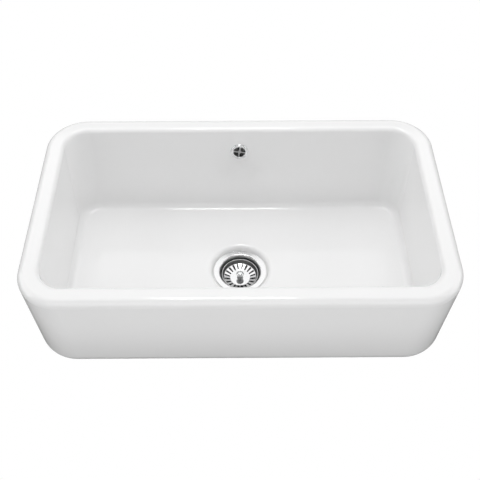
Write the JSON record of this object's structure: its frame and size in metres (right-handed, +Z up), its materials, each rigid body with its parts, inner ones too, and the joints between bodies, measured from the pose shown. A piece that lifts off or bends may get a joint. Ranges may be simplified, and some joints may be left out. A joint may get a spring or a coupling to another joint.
{
  "type": "farmhouse apron front sink",
  "caption": "Apron front kitchen sink with a large bowl and rolled rim, a lift-out basket strainer in the drain, and a round overflow in the rear wall piped to the waste.",
  "frame": {"origin": "drain axis on the plane of the underside", "axes": "+X to the right for someone who stands at the apron, +Y to the rear, +Z up"},
  "size_m": [0.7998, 0.5259, 0.338],
  "materials": {
    "glaze": "white gloss glaze",
    "stainless": "bright polished",
    "chrome": "polished",
    "brass": "turned",
    "rubber_black": "moulded",
    "foam_white": "closed-cell foam",
    "plastic_white": "moulded satin"
  },
  "bodies": {
    "sink": {"sink_bowl": "glaze", "strainer_cup": "stainless", "flange_seal": "foam_white", "under_gasket": "rubber_black", "waste_body": "plastic_white", "clamp_screw": "stainless", "threaded_insert": "brass", "overflow_rosette": "chrome", "overflow_screw": "chrome", "overflow_gasket": "rubber_black", "overflow_elbow": "plastic_white", "overflow_insert": "brass", "overflow_pipe": "plastic_white", "upper_pipe_nut": "plastic_white", "lower_pipe_nut": "plastic_white", "upper_pipe_washer": "rubber_black", "lower_pipe_washer": "rubber_black"},
    "strainer_basket": {"basket": "stainless", "basket_seal": "rubber_black", "seal_retainer": "stainless", "spindle_nut": "stainless", "basket_spindle": "stainless", "spindle_clip": "stainless", "basket_knob": "chrome"}
  },
  "joints": [
    {"name": "basket_lift", "type": "slide", "parent": "sink", "child": "strainer_basket", "axis": [0, 0, 1], "range_m": [0, 0.28]}
  ]
}
